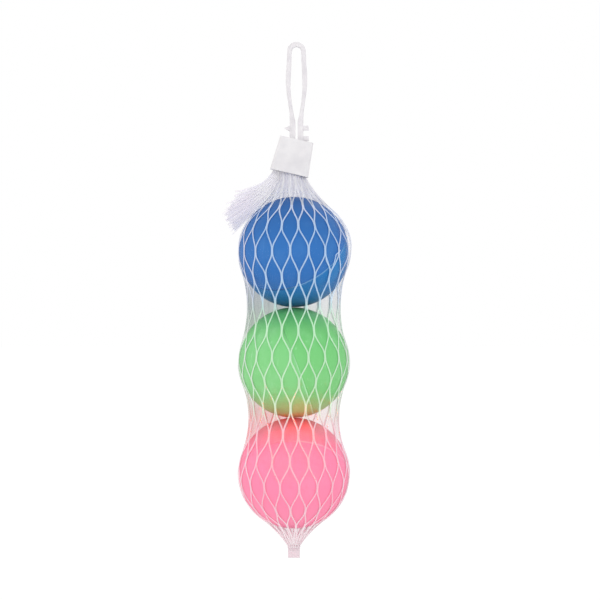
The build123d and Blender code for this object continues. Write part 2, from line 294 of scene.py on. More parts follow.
def polypropylene(name, colour, roughness, grain, depth):
    """Moulded polypropylene: milky, with a soft sheen, faint flow clouds and the mould's fine grain."""
    material, shader, mm = new_material(name, Roughness=roughness, IOR=1.49, Subsurface_Weight=0.25,
                                        Subsurface_Radius=(0.002, 0.002, 0.002), Subsurface_Scale=1.0)
    clouds = node(material, "ShaderNodeTexNoise", {"Vector": mm, "Scale": 1 / 7, "Detail": 3})
    tint = node(material, "ShaderNodeMix",
                {0: clouds.outputs["Fac"], 6: linear(colour), 7: linear("#F4F2F3")}, data_type="RGBA")
    material.node_tree.links.new(tint.outputs[2], shader.inputs["Base Color"])
    add_relief(material, shader, mm, grain, 2, 0.5, depth)
    return material


def extruded_polyethylene(name, stops, alpha, glow):
    """Extruded netting: milky strands with a fine ripple from the die. They let the colour behind them through
    and carry a painted reflection of the colour of the ball beside them. Bunched, they glow in light from
    behind."""
    material, shader, mm = new_material(name, Roughness=0.38, IOR=1.51)
    tones = tones_by_height(material, mm, TONES_BOTTOM_Z, TONES_TOP_Z, stops)
    # Paler towards the sleeve's sides, where the painted reflection of the ball's colour gives way.
    tint = pale_towards(material, mm, tones, "ABSOLUTE", (21, 28), "#F8F2FA", 0.75)
    material.node_tree.links.new(tint, shader.inputs["Base Color"])
    let_light_through(material, shader, tint, alpha, glow)
    add_relief(material, shader, mm, 3, 1, 0.3, 0.08)
    return material


def pressed_polyethylene(name, colour):
    """Netting melted and pressed into one: denser and less clear than its strands, with a fine ripple."""
    material, shader, mm = new_material(name, Roughness=0.38, IOR=1.51, Base_Color=linear(colour))
    let_light_through(material, shader, linear(colour), 0.85, 0.25)
    add_relief(material, shader, mm, 3, 1, 0.3, 0.08)
    return material


def polyethylene_skin(name, stops):
    """The thin skin that stays between extruded strands where the netting is bunched: a haze drawn out into
    streaks, as thick as the mesh says. It carries a painted reflection of the colour of the ball beside it,
    and painted shade at the waists."""
    material, shader, mm = new_material(name, Roughness=0.5, IOR=1.51)
    tones = tones_by_height(material, mm, TONES_BOTTOM_Z, TONES_TOP_Z, stops)
    # Paler towards the right and darker towards the left: painted light and shade across the sleeve.
    tones = pale_towards(material, mm, tones, "ADD", (-8, 24), "#F6F0F4", 0.95)
    material.node_tree.links.new(tones, shader.inputs["Base Color"])
    # Streaks 1.3 mm wide and 14 mm long
    stretch = node(material, "ShaderNodeMapping", {"Vector": mm, "Scale": (1 / 1.3, 1 / 1.3, 1 / 14)})
    streaks = node(material, "ShaderNodeTexNoise",
                   {"Vector": stretch.outputs["Vector"], "Scale": 1, "Detail": 3})
    body = node(material, "ShaderNodeMapRange", {
        "Value": streaks.outputs["Fac"], "From Min": 0.3, "From Max": 0.7, "To Min": 0.7, "To Max": 1.0})
    cover = node(material, "ShaderNodeAttribute", attribute_name="cover")
    alpha = node(material, "ShaderNodeMath", {0: cover.outputs["Fac"], 1: body.outputs["Result"]},
                 operation="MULTIPLY")
    let_light_through(material, shader, tones, alpha.outputs[0], 0.4)
    return material


def moulded_rubber(name, centre_z, stops, bloom, bloom_share, seam_shade_colour):
    """Moulded hollow rubber: satin, its tones darker and tinted towards its top and bottom by painted shade
    where it meets the other balls and the neck and by painted reflections of the other balls, with a chalky
    bloom in patches, dull scuffs, an orange-peel skin, and a seam line with painted shade on its left and a
    painted highlight on its right."""
    material, shader, mm = new_material(name, IOR=1.5, Specular_IOR_Level=0.35)
    tones = tones_by_height(material, mm, centre_z - BALL_RADIUS, centre_z + BALL_RADIUS, stops)
    chalk_and_highlight_colour = linear(bloom)
    patches = node(material, "ShaderNodeTexNoise", {"Vector": mm, "Scale": 1 / 14, "Detail": 4})
    chalk = node(material, "ShaderNodeMapRange", {
        "Value": patches.outputs["Fac"], "From Min": 0.5, "From Max": 0.8, "To Max": bloom_share})
    bloomed = node(material, "ShaderNodeMix", {0: chalk.outputs["Result"], 6: tones, 7: chalk_and_highlight_colour},
                   data_type="RGBA")
    # Scuffs 1.2 mm wide and 18 mm long, slanting over the ball
    drag = node(material, "ShaderNodeMapping", {
        "Vector": mm, "Rotation": (0.6, 0.5, 0.4), "Scale": (1 / 1.2, 1 / 1.2, 1 / 18)})
    scuffs = node(material, "ShaderNodeTexNoise", {"Vector": drag.outputs["Vector"], "Scale": 1, "Detail": 2})
    scuff = node(material, "ShaderNodeMapRange", {
        "Value": scuffs.outputs["Fac"], "From Min": 0.66, "From Max": 0.74, "To Max": bloom_share})
    scuffed = node(material, "ShaderNodeMix",
                   {0: scuff.outputs["Result"], 6: bloomed.outputs[2], 7: chalk_and_highlight_colour}, data_type="RGBA")
    # The seam's line: painted shade in its step on the left, turning to a painted highlight along its lip on
    # the right.
    side = node(material, "ShaderNodeSeparateXYZ", {"Vector": mm})
    seam_lit_side = node(material, "ShaderNodeMapRange",
                   {"Value": side.outputs["X"], "From Min": -8, "From Max": 4})
    line = node(material, "ShaderNodeMix",
                {0: seam_lit_side.outputs["Result"], 6: linear(seam_shade_colour), 7: chalk_and_highlight_colour}, data_type="RGBA")
    seam = node(material, "ShaderNodeAttribute", attribute_name="seam")
    seamed = node(material, "ShaderNodeMix",
                  {0: seam.outputs["Fac"], 6: scuffed.outputs[2], 7: line.outputs[2]}, data_type="RGBA")
    material.node_tree.links.new(seamed.outputs[2], shader.inputs["Base Color"])
    rough = node(material, "ShaderNodeMapRange",
                 {"Value": patches.outputs["Fac"], "To Min": 0.4, "To Max": 0.62})
    material.node_tree.links.new(rough.outputs["Result"], shader.inputs["Roughness"])
    add_relief(material, shader, mm, 0.9, 2, 0.35, 0.06)
    return material


# Tones of the netting and of the balls, from the bottom up, with painted reflections of the balls' colours and
# painted shade in them
# The strands' pinks, greens and blues are painted reflections of the ball beside them.
STRAND_TONES = (
    (0.0, "#FFFAFC"), (0.1, "#FFF0F5"), (0.16, "#FFD2E0"), (0.35, "#FFD6E2"), (0.39, "#E4FCE0"),
    (0.63, "#D2F8D8"), (0.67, "#CDE8FF"), (0.84, "#C2E0FF"), (0.9, "#E6EEFF"), (1.0, "#FEFDFF"),
)
# The bunched strands' pink at the bottom is a painted reflection of the pink ball.
BUNDLE_TONES = ((0.0, "#FFF0F5"), (0.3, "#FFE4EC"), (0.8, "#FFFFFF"))
SKIN_TONES = (
    # The skin's pinks and greens are painted reflections of the balls beside it; its greys at the upper waist
    # are painted shade.
    (0.0, "#FFFAFC"), (0.11, "#FFF2F6"), (0.31, "#FF8A9C"), (0.37, "#FF8888"), (0.41, "#E8C4B4"),
    (0.6, "#A6BCAC"), (0.65, "#A4B2B2"), (0.71, "#C4CCDC"), (0.9, "#F0EEF6"), (1.0, "#F8F6FC"),
)
# Each ball half is darker or tinted towards its top and bottom: painted shade where the balls press together
# and under the neck, and painted reflections of the neighbours, such as green on the blue's bottom, the pink's
# orange on the green's bottom and a red glow on the pink's top.
BALL_HEIGHTS = {
    "blue": (0.0, 0.14, 0.5, 0.85, 1.0),
    "green": (0.0, 0.07, 0.24, 0.8, 1.0),
    "pink": (0.0, 0.3, 0.72, 0.9, 1.0),
}
HALF_TONES = {
    "blue_top": ("#1C64A8", "#266AB4", "#246EBA", "#1E62AA", "#1C5CA2"),
    "blue_bottom": ("#0E5A94", "#1470B4", "#1878BE", "#1878BE", "#1878BE"),
    "green_right": ("#D09058", "#A8C47C", "#7ECE7E", "#72CC78", "#5CC070"),
    "green_left": ("#D09058", "#A8C47C", "#86D286", "#7CD082", "#5CC070"),
    "pink_top": ("#FF8AAE", "#FF8AAE", "#FF8AAE", "#FF8CA2", "#FF8088"),
    "pink_bottom": ("#FF90B2", "#FF8AAE", "#FF8AB0", "#FF8AB0", "#FF8AB0"),
}
# The bloom's colour, which also paints the highlight along the seam, its share, and the colour of the painted
# shade in the seam's step
BLOOM_AND_PAINTED_SEAM = {
    "blue": ("#7DB4DE", 0.1, "#184684"),
    "green": ("#B4E6BA", 0.3, "#64B46C"),
    "pink": ("#FFB8CC", 0.12, "#F88AA6"),
}

strap_material = polypropylene("moulded_polypropylene_satin", "#CDC9CF", 0.35, 0.9, 0.03)
collar_material = polypropylene("moulded_polypropylene_matt", "#D6D4D8", 0.5, 0.5, 0.05)
net_material = extruded_polyethylene("extruded_polyethylene_strand", STRAND_TONES, 0.7, 0.03)
bundle_material = extruded_polyethylene("bunched_polyethylene_strand", BUNDLE_TONES, 0.55, 0.25)
seal_material = pressed_polyethylene("pressed_polyethylene", "#F6E6EC")
skin_material = polyethylene_skin("polyethylene_skin", SKIN_TONES)
rubber = {}
for half, tones in HALF_TONES.items():
    colour = half.split("_")[0]
    stops = list(zip(BALL_HEIGHTS[colour], tones))
    rubber[half] = moulded_rubber(f"{half}_rubber", ball_centres[colour].z, stops, *BLOOM_AND_PAINTED_SEAM[colour])

# ---------------------------------------------------------------- mesh helpers


def make_piece(name, vertices, faces, material, slot, **values):
    """A smooth-shaded mesh from vertices in mm, with the named values at them that its material reads."""
    mesh = bpy.data.meshes.new(name)
    mesh.from_pydata([tuple(c * MM for c in v) for v in vertices], [], faces)
    mesh.polygons.foreach_set("use_smooth", [True] * len(mesh.polygons))
    mesh.materials.append(material)
    for value_name, amounts in values.items():
        attribute = mesh.attributes.new(value_name, "FLOAT", "POINT")
        attribute.data.foreach_set("value", amounts)
    mesh.update()
    piece = bpy.data.objects.new(name, mesh)
    bpy.context.scene.collection.objects.link(piece)
    return piece


def strip(points, normals, widths, thicknesses, sides=5):
    """Vertices and faces of a strand's rounded outer side along points, wide across and thin outwards."""
    runs = np.gradient(points, axis=0)
    runs /= np.linalg.norm(runs, axis=1, keepdims=True)
    across = np.cross(runs, normals)
    across /= np.linalg.norm(across, axis=1, keepdims=True)
    out = np.cross(across, runs)
    angles = np.linspace(-0.1, math.pi + 0.1, sides + 1)
    ring = (
        points[:, None]
        + across[:, None] * (np.cos(angles)[None, :, None] * widths[:, None, None] / 2)
        + out[:, None] * (np.sin(angles)[None, :, None] * thicknesses[:, None, None] / 2)
    )
    row = sides + 1
    faces = [
        (i * row + j, i * row + j + 1, (i + 1) * row + j + 1, (i + 1) * row + j)
        for i in range(len(points) - 1)
        for j in range(sides)
    ]
    return ring.reshape(-1, 3), faces


def make_strands(name, strips, material):
    """One piece of netting out of many strands."""
    vertices, faces = [], []
    for strip_vertices, strip_faces in strips:
        start = len(vertices)
        vertices.extend(map(tuple, strip_vertices))
        faces.extend(tuple(start + i for i in face) for face in strip_faces)
    return make_piece(name, vertices, faces, material, "net_plastic")


def tube_faces(levels, around):
    """Quads of a tube whose vertices go round it, level by level."""
    faces = []
    for level in range(levels - 1):
        for k in range(around):
            n = (k + 1) % around
            a, b = level * around, (level + 1) * around
            faces.append((a + k, b + k, b + n, a + n))
    return faces


def end_faces(levels, around):
    """The two ends that close such a tube."""
    return [tuple(range(around)), tuple(reversed(range((levels - 1) * around, levels * around)))]


def oval_point(angle, half_width, half_depth, power):
    """A point of an oval that is the squarer, the smaller its power."""
    c, s = math.cos(angle), math.sin(angle)
    return half_width * math.copysign(abs(c) ** power, c), half_depth * math.copysign(abs(s) ** power, s)


# ----------------------------------------------------------------------- balls


def make_ball_half(colour, side, seam_normal, lip, is_first):
    """Half of a hollow ball, with its wall and a grooved seam. The first half carries the flash there. The
    second one stands back by the lip and carries the seam's line of painted shade and painted highlight."""
    normal = Vector(seam_normal).normalized()
    u = normal.orthogonal().normalized()
    v = normal.cross(u)
    centre = ball_centres[colour]
    sign = 1 if is_first else -1
    # Degrees from the crown to the seam, crowded towards it
    polar = [90 * (1 - (1 - i / 40) ** 1.6) for i in range(41)]
    polar = sorted(set(polar + [90 - i * 0.2 for i in range(1, 11)]))
    step = 0 if is_first else lip
    profile, lines = [], []
    for degrees in polar:
        angle = math.radians(degrees)
        edge = math.radians(90 - degrees) * BALL_RADIUS
        radius = BALL_RADIUS - step * math.exp(-edge / LIP_REACH)
        radius -= GROOVE_DEPTH * lip * peak(edge, 0, GROOVE_WIDTH)
        if is_first:
            radius += FLASH_HEIGHT * lip * peak(edge, FLASH_PLACE, FLASH_WIDTH)
        profile.append((radius * math.sin(angle), radius * math.cos(angle)))
        lines.append(0 if is_first else peak(edge, SEAM_LINE_PLACE, SEAM_LINE_WIDTH))
    inner = BALL_RADIUS - BALL_WALL
    for degrees in range(90, -1, -6):
        angle = math.radians(degrees)
        profile.append((inner * math.sin(angle), inner * math.cos(angle)))
        lines.append(0)
    around = 144
    rings = profile[1:-1]
    vertices = [centre + normal * (sign * profile[0][1])]
    for r, h in rings:
        for k in range(around):
            a = 2 * math.pi * k / around
            vertices.append(centre + (u * math.cos(a) + v * math.sin(a)) * r + normal * (sign * h))
    vertices.append(centre + normal * (sign * profile[-1][1]))
    faces = []
    last = len(vertices) - 1
    for k in range(around):
        n = (k + 1) % around
        faces.append((0, 1 + k, 1 + n))
        for i in range(len(rings) - 1):
            a, b = 1 + i * around, 1 + (i + 1) * around
            faces.append((a + k, b + k, b + n, a + n))
        tail = 1 + (len(rings) - 1) * around
        faces.append((tail + k, last, tail + n))
    if not is_first:
        faces = [tuple(reversed(face)) for face in faces]
    seam = [0] + [value for value in lines[1:-1] for _ in range(around)] + [0]
    piece = make_piece(f"{colour}_rubber_{side}_half", vertices, faces, rubber[f"{colour}_{side}"],
                       f"{colour}_rubber", seam=seam)
    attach(piece, f"{colour}_ball")
    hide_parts(f"{colour}_ball_{side}_half")


for colour, (seam_normal, lip, first_side, second_side) in BALLS.items():
    make_ball_half(colour, first_side, seam_normal, lip, True)
    make_ball_half(colour, second_side, seam_normal, lip, False)

# ------------------------------------------------------------ outline of the sleeve


def flare_radius(height, end_radius, end_height, bend):
    """Radius of a flare at a height from a ball's centre, or None where the netting lies on the ball."""
    reach = SLEEVE_RADIUS + bend
    end = math.hypot(end_radius, end_height)
    turn = math.acos((reach**2 + end**2 - bend**2) / (2 * reach * end))
    angle = math.atan2(end_height, end_radius) - turn
    if height <= SLEEVE_RADIUS * math.sin(angle):
        return None
    return reach * math.cos(angle) - math.sqrt(bend**2 - (height - reach * math.sin(angle)) ** 2)


def waist_radius(height, narrowest):
    """Radius between two balls at a height from the nearer centre, or None on the ball."""
    half = pitch / 2
    bend = (narrowest**2 + half**2 - SLEEVE_RADIUS**2) / (2 * (SLEEVE_RADIUS - narrowest))
    if height <= SLEEVE_RADIUS * half / (SLEEVE_RADIUS + bend):
        return None
    return narrowest + bend - math.sqrt(bend**2 - (half - height) ** 2)


def sleeve_radius(z):
    """Radius of the middle of the strands at a height."""
    if z > ball_z[0]:
        height = min(z - ball_z[0], NECK_HEIGHT)
        radius = flare_radius(height, NECK_RADIUS, NECK_HEIGHT, NECK_BEND)
    elif z < ball_z[2]:
        height = min(ball_z[2] - z, TAIL_DEPTH)
        radius = flare_radius(height, TAIL_RADIUS, TAIL_DEPTH, TAIL_BEND)
    else:
        nearest = min(ball_z, key=lambda centre: abs(centre - z))
        height = abs(z - nearest)
        radius = waist_radius(height, WAIST_RADII[0 if z > ball_z[1] else 1])
    return math.sqrt(SLEEVE_RADIUS**2 - height**2) if radius is None else radius


# The outline as a table: depths under the top ball's middle, and radii, slopes and lengths along it there
depths = np.linspace(ball_z[0] - bundle_top_z, ball_z[0] - seal_top_z + SEAL_REACH, OUTLINE_POINTS)
radii = np.array([sleeve_radius(ball_z[0] - depth) for depth in depths])
slopes = np.gradient(radii, depths)
lengths = np.concatenate([[0], np.cumsum(np.hypot(np.diff(depths), np.diff(radii)))])
lengths -= np.interp(0, depths, lengths)


def length_at(z):
    """Length along the outline, from the top ball's equator down to a height."""
    return float(np.interp(ball_z[0] - z, depths, lengths))


def fold_lift(z, degrees):
    """How far the sleeve stands off along its slack fold beside the top ball."""
    turn = (degrees - FOLD_DEGREES + 180) % 360 - 180
    return FOLD_REACH * peak(turn, 0, FOLD_WIDTH_DEGREES) * peak(z - ball_z[0], FOLD_HEIGHT, FOLD_LENGTH)


def sleeve_spot(length, degrees, sideways=0.0, outward=0.0, oval_shift=0.0):
    """A point on the sleeve and the way out of it there. Above the neck it runs into the collar's mouth."""
    depth = np.interp(length, lengths, depths)
    radius, slope = np.interp(depth, depths, radii), np.interp(depth, depths, slopes)
    z = ball_z[0] - depth
    angle = math.radians(degrees)
    outward += fold_lift(z, degrees)
    out = np.array([math.cos(angle), math.sin(angle), 0])
    across = np.array([-math.sin(angle), math.cos(angle), 0])
    spot = np.array([axis_x, 0, z]) + out * (radius + outward) + across * sideways
    turn_z = ball_z[0] + TURN_HEIGHT
    in_mouth = smooth((z - turn_z) / (mouth_centre.z - turn_z))
    if in_mouth > 0:
        up = max((z - mouth_centre.z) / math.cos(COLLAR_TILT), 0)
        middle = mouth_centre + collar_right * MOUTH_OVAL_X - collar_down * up
        x = (MOUTH_OVAL_SIZE[0] + oval_shift + outward) * math.cos(angle)
        y = (MOUTH_OVAL_SIZE[1] + oval_shift + outward) * math.sin(angle)
        target = np.array([middle.x + x * collar_right.x, y, middle.z + x * collar_right.z])
        spot = spot * (1 - in_mouth) + target * in_mouth
    return spot, out + np.array([0, 0, slope])


# -------------------------------------------------------------- sleeve of netting

# Each knot is off its place by some degrees and some length, so that the lattice is uneven.
knot_chance = random.Random(11)
KNOT_SHIFTS = {
    (row, strand): (knot_chance.uniform(-0.7, 0.7), knot_chance.uniform(-0.5, 0.5))
    for row in ROWS
    for strand in range(STRANDS)
}
# Each strand strays by some degrees in the neck, and by some width in the collar's mouth.
neck_chance = random.Random(5)
NECK_SHIFTS = [(neck_chance.uniform(-9, 9), neck_chance.uniform(-0.7, 0.3)) for _ in range(STRANDS)]


def knot_of(row, strand):
    """Angle and length of the knot that a strand joins in a row, and which side its partner is on."""
    side = 1 if (row + strand) % 2 else -1
    first = strand if side == 1 else strand - 1
    turn, slip = KNOT_SHIFTS[row, first % STRANDS]
    return FIRST_STRAND_ANGLE + (strand + side / 2) * 360 / STRANDS + turn, row * ROW_PITCH + slip, side


def ease(share):
    """Leaves and arrives gently, and runs straight in between."""
    soft = 0.3
    if share < soft:
        return share**2 / (2 * soft * (1 - soft))
    if share > 1 - soft:
        return 1 - (1 - share) ** 2 / (2 * soft * (1 - soft))
    return (share - soft / 2) / (1 - soft)


def strand_place(length, strand):
    """Angle and sideways shift of a strand at a length along the sleeve."""
    row = math.floor(length / ROW_PITCH)
    if length < knot_of(row, strand)[1]:
        row -= 1
    if length >= knot_of(row + 1, strand)[1]:
        row += 1
    angle, start, side = knot_of(row, strand)
    next_angle, end, _ = knot_of(row + 1, strand)
    share = (length - start - KNOT_LENGTH / 2) / (end - start - KNOT_LENGTH)
    share = ease(min(max(share, 0), 1))
    shift = -side * (1 - 2 * share) * KNOT_SQUEEZE / 2
    return angle + share * (next_angle - angle), shift


def sleeve_strand(strand, top, bottom):
    """One strand between two heights."""
    start, end = length_at(top), length_at(bottom)
    count = max(int((end - start) * RINGS_PER_MM), 4) + 1
    points, normals, widths = [], [], []
    stray_degrees, stray_width = NECK_SHIFTS[strand]
    for length in np.linspace(start, end, count):
        radius = max(np.interp(length, lengths, radii), LEAST_GIRTH_RADIUS)
        width = min(STRAND_WIDTH, BUNCHED_FILL * 2 * math.pi * radius / STRANDS)
        degrees, shift = strand_place(length, strand)
        height = -np.interp(length, lengths, depths)
        stray = smooth((height - STRAY_HEIGHT) / STRAY_SPAN)
        spot, out = sleeve_spot(length, degrees + stray_degrees * stray, shift * width, 0, stray_width)
        points.append(spot)
        normals.append(out)
        widths.append(width)
    widths = np.array(widths)
    return strip(np.array(points), np.array(normals), widths, widths * STRAND_THICKNESS / STRAND_WIDTH)


# Stretches of the sleeve, from the top down: their bodies, their ends, and the heights between which they bend
STRETCHES = {
    "neck": (("hanger", "upper_net"), bundle_top_z, shoulder_z, NECK_BLEND),
    "shoulder": (("upper_net",), shoulder_z, ball_z[0], None),
    "upper_waist": (("upper_net", "middle_net"), ball_z[0], ball_z[1], (ball_z[0], waist_z[0])),
    "lower_waist": (("middle_net", "lower_net"), ball_z[1], ball_z[2], (ball_z[1], waist_z[1])),
    "bottom": (("lower_net",), ball_z[2], seal_top_z, None),
}
BANDS = {"upper_net": "net_upper_band", "middle_net": "net_middle_band", "lower_net": "net_lower_band"}


def follow(piece, stretch):
    """Makes a piece ride the body of a stretch of the sleeve, or, where the stretch bends from body to body,
    leaves it in place on no body.
    """
    bodies, _, _, bend = STRETCHES[stretch]
    if bend:
        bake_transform(piece)
    else:
        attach(piece, *bodies)


for stretch, (bodies, top, bottom, _) in STRETCHES.items():
    material = bundle_material if stretch == "neck" else net_material
    end = bottom - SEAL_OVERLAP if stretch == "bottom" else bottom
    strands = [sleeve_strand(strand, top, end) for strand in range(STRANDS)]
    net = make_strands(f"net_{stretch}", strands, material)
    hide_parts(*(BANDS[body] for body in bodies if body in BANDS))
    follow(net, stretch)

# ------------------------------------------------------- skin between the strands


def skin_cover(z, degrees):
    """How much the skin hides, at a height and an angle round the sleeve: most where the netting is bunched
    and clear of the balls, more of it behind than in front, and some along two folds."""
    height = min(abs(z - centre) for centre in ball_z)
    behind = math.sin(math.radians(degrees))
    slack = smooth(behind + 0.6)
    gap = sleeve_radius(z) - math.sqrt(max(BALL_RADIUS**2 - height**2, 0))
    loose = smooth(gap / (2.5 + 8 * smooth(behind - 0.2)))
    if z > ball_z[0]:
        bunched = NECK_COVER * smooth((height - SKIN_START + 20 * slack) / 7) * loose
    elif z < ball_z[2]:
        bunched = TAIL_COVER * smooth((height - SKIN_START + 16 * slack) / 8) * loose
    else:
        # At the waists the skin is partly the netting's haze and partly a sheet of painted shade between the
        # balls; it is thinner on the right, painted light on that side.
        thinner_on_lit_side = 1 - 0.35 * smooth(math.cos(math.radians(degrees)) + 0.4)
        dense = WAIST_COVERS[0 if z > ball_z[1] else 1]
        bunched = dense * loose * (0.05 + 0.95 * slack) * thinner_on_lit_side
    right_fold = 0.4 * peak(degrees, FOLD_DEGREES, 14)
    left_fold = 0.18 * peak(abs(degrees), 180, 13)
    return bunched + (right_fold + left_fold) * (1 - bunched)


def make_skin(name, top, bottom):
    """A pleated skin just inside the strands."""
    start, end = length_at(top), length_at(bottom)
    count = int((end - start) / SKIN_STEP) + 2
    vertices, covers = [], []
    for length in np.linspace(start, end, count):
        z = ball_z[0] - np.interp(length, lengths, depths)
        slack = smooth((min(abs(z - centre) for centre in ball_z) - 12) / 12)
        for k in range(SKIN_AROUND):
            degrees = 360 * k / SKIN_AROUND - 180
            pleat = PLEAT_HEIGHT * math.sin(math.radians(degrees * PLEATS)) * slack
            spot, _ = sleeve_spot(length, degrees, 0, pleat - SKIN_INSET)
            vertices.append(tuple(spot))
            covers.append(skin_cover(z, degrees))
    faces = tube_faces(count, SKIN_AROUND)
    return make_piece(name, vertices, faces, skin_material, "net_plastic", cover=covers)


for stretch, (_, top, bottom, _) in STRETCHES.items():
    follow(make_skin(f"skin_{stretch}", top, bottom), stretch)

# -------------------------------------------------------------- pulled thread


def make_snag():
    """A thread of the netting that has been pulled out of line beside the top ball."""
    turns = np.arange(len(SNAG_TURNS))
    heights, angles = zip(*SNAG_TURNS)
    points, normals = [], []
    for turn in np.linspace(0, turns[-1], SNAG_POINTS):
        length = length_at(ball_z[0] + np.interp(turn, turns, heights))
        lift = SNAG_LIFT * smooth(turn) * smooth(turns[-1] - turn)
        spot, out = sleeve_spot(length, np.interp(turn, turns, angles), 0, lift)
        points.append(spot)
        normals.append(out)
    widths = np.full(len(points), SNAG_WIDTH)
    thread = strip(np.array(points), np.array(normals), widths, widths / 2)
    follow(make_strands("net_pulled_thread", [thread], net_material), "upper_waist")


make_snag()

# ------------------------------------------------------------------ cut end

fan_chance = random.Random(3)


def between(share, shares, places):
    """A point between places that stand at shares."""
    across, up = zip(*places)
    return Vector((np.interp(share, shares, across), 0, np.interp(share, shares, up)))


def raggedness(share):
    """1 at the fan's left edge, falling to 0 where its cut is clean."""
    return max(0, 1 - share / FAN_RAGGED)


def fan_spot(share, along, share_tip=None):
    """A point of the fan, at shares of the way across it and along it; above its root it is in the collar."""
    root = mouth_centre + collar_right * (FAN_ROOT + FAN_ROOT_WIDTH * share) - collar_down * FAN_ROOT_RISE
    if along < 0:
        return root + collar_down * (along * FAN_LENGTH)
    bend = between(share, (0, 1), FAN_BENDS)
    tip = between(share if share_tip is None else share_tip, (0, FAN_CORNER, 1), FAN_TIPS)
    return root * (1 - along) ** 2 + bend * (2 * along * (1 - along)) + tip * along**2


def fan_forward(share, late, layer):
    """How far the fan stands forward, with its layers closing up towards the tips."""
    return FAN_BULGE * share**2 * math.sin(math.pi * late) + layer * (1 - 0.45 * late)


def fan_strand(index):
    """One strand of the fan, from inside the collar to its cut tip."""
    share = (index + 0.5) / FAN_STRANDS
    ragged = raggedness(share)
    share_tip = min(max(share + fan_chance.uniform(-0.05, 0.05) * (1 + ragged), 0), 1)
    reach = 1 - fan_chance.uniform(0, 0.03) - fan_chance.uniform(0, 0.14) * ragged
    layer = (1.0 if index % 2 else -1.0) + fan_chance.uniform(-0.3, 0.3)
    phase = math.pi * (index // 2 % 2) + fan_chance.uniform(-0.5, 0.5)
    lift = fan_chance.uniform(-1.5, 1.0)
    root_width, tip_width = FAN_STRAND_WIDTHS
    points, widths = [], []
    for along in np.linspace(-0.12, reach, 40):
        late = max(along, 0)
        sway = FAN_SWAY * math.sin(late * 2 * math.pi * FAN_WAVES + phase) * min(late * 4, 1)
        side = FAN_SIDEWAYS * sway
        forward = fan_forward(share, late, layer) - lift * late**2
        points.append(fan_spot(share, along, share_tip) + side - Vector((0, forward, 0)))
        widths.append(root_width + (tip_width - root_width) * smooth(1.5 * late))
    normals = np.full((len(points), 3), (0.0, -1.0, 0.0))
    widths = np.array(widths)
    return strip(np.array(points), normals, widths, widths * 0.3)


def make_fringe_skin():
    """The skin between the fan's strands, two layers of it, softly pleated and torn ragged at the cut."""
    across, rows = 60, 30
    vertices, covers, faces = [], [], []
    for layer in FRINGE_LAYERS:
        first = len(vertices)
        tears = [fan_chance.uniform(0, 0.06) for _ in range(across + 1)]
        for k in range(across + 1):
            share = k / across
            ragged = raggedness(share)
            reach = 0.985 - tears[k] - 0.1 * ragged
            for row in range(rows + 1):
                along = -0.1 + (reach + 0.1) * row / rows
                late = max(along, 0)
                pleat = (0.05 + 0.2 * late) * math.sin(k * 1.1 + layer)
                spot = fan_spot(share, along) - Vector((0, fan_forward(share, late, layer) + pleat, 0))
                vertices.append(tuple(spot))
                covers.append(FRINGE_COVER - 0.5 * smooth((late - 0.4) / 0.6) * (0.4 + ragged))
        for k in range(across):
            for row in range(rows):
                a = first + k * (rows + 1) + row
                faces.append((a, a + 1, a + rows + 2, a + rows + 1))
    return make_piece("skin_cut_fringe", vertices, faces, skin_material, "net_plastic", cover=covers)


fan = make_strands("net_cut_fringe", [fan_strand(index) for index in range(FAN_STRANDS)], bundle_material)
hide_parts("net_cut_end")
for piece in (fan, make_fringe_skin()):
    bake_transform(piece)

# -------------------------------------------------------------- wad in the collar


def make_wad():
    """Netting packed into the collar: a pleated plug that closes in towards its underside."""
    wad_chance = random.Random(8)
    around, levels, closing_levels = 120, 14, 4
    ripple = [wad_chance.uniform(0.1, 0.5) for _ in range(around)]
    vertices = []
    for level in range(levels):
        depth = WAD_TOP + WAD_LENGTH * level / (levels - 1)
        close = 1 - 0.5 * max(0, (level - levels + closing_levels) / closing_levels) ** 2
        for k in range(around):
            angle = 2 * math.pi * k / around
            x, y = oval_point(angle, WAD_HALF_SIZE[0] * close, WAD_HALF_SIZE[1] * close, 0.6)
            shrink = 1 - ripple[k] * 0.05 * (k % 2)
            spot = mouth_centre + collar_down * (depth - COLLAR_HEIGHT) + collar_right * (x * shrink)
            vertices.append((spot.x, y * shrink, spot.z))
    faces = tube_faces(levels, around) + end_faces(levels, around)
    wad = make_piece("net_wad", vertices, faces, bundle_material, "net_plastic")
    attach(wad, "hanger")
    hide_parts("net_gather")


make_wad()

# ------------------------------------------------------------------------ seal


def make_seal():
    """Bottom of the netting, from its round throat to a crimped flat tab, with its strands as ribs."""
    around, levels = 96, 22
    vertices = []
    for level in range(levels):
        along = level / (levels - 1)
        z = seal_top_z + (seal_bottom_z - seal_top_z) * along
        flat = smooth(along / 0.35)
        half_width = THROAT_RADIUS + (SEAL_WIDTH / 2 - THROAT_RADIUS) * flat
        half_depth = THROAT_RADIUS + (SEAL_THICKNESS / 2 - THROAT_RADIUS) * flat
        crimp = 1 + CRIMP_HEIGHT * math.cos(along * 2 * math.pi * CRIMPS) * flat
        for k in range(around):
            angle = 2 * math.pi * k / around
            rib = RIB_HEIGHT * math.cos(angle * SEAL_RIBS) * (1 - 0.4 * flat)
            x, y = oval_point(angle, half_width, half_depth, 1 - 0.55 * flat)
            vertices.append((axis_x + x * (1 + rib * 0.3), y * (1 + rib) * crimp, z))
    faces = tube_faces(levels, around) + end_faces(levels, around)
    seal = make_piece("net_heat_seal", vertices, faces, seal_material, "seal_plastic")
    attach(seal, "lower_net")
    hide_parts("net_tail_seal")


make_seal()

# ------------------------------------------------------------------------ clip


def dress(name, material):
    """Gives a CAD node its material."""
    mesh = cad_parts[name].data
    mesh.materials.clear()
    mesh.materials.append(material)


dress("hang_loop", strap_material)
dress("clip_collar", collar_material)

# ------------------------------------------- floor, light and camera, in metres

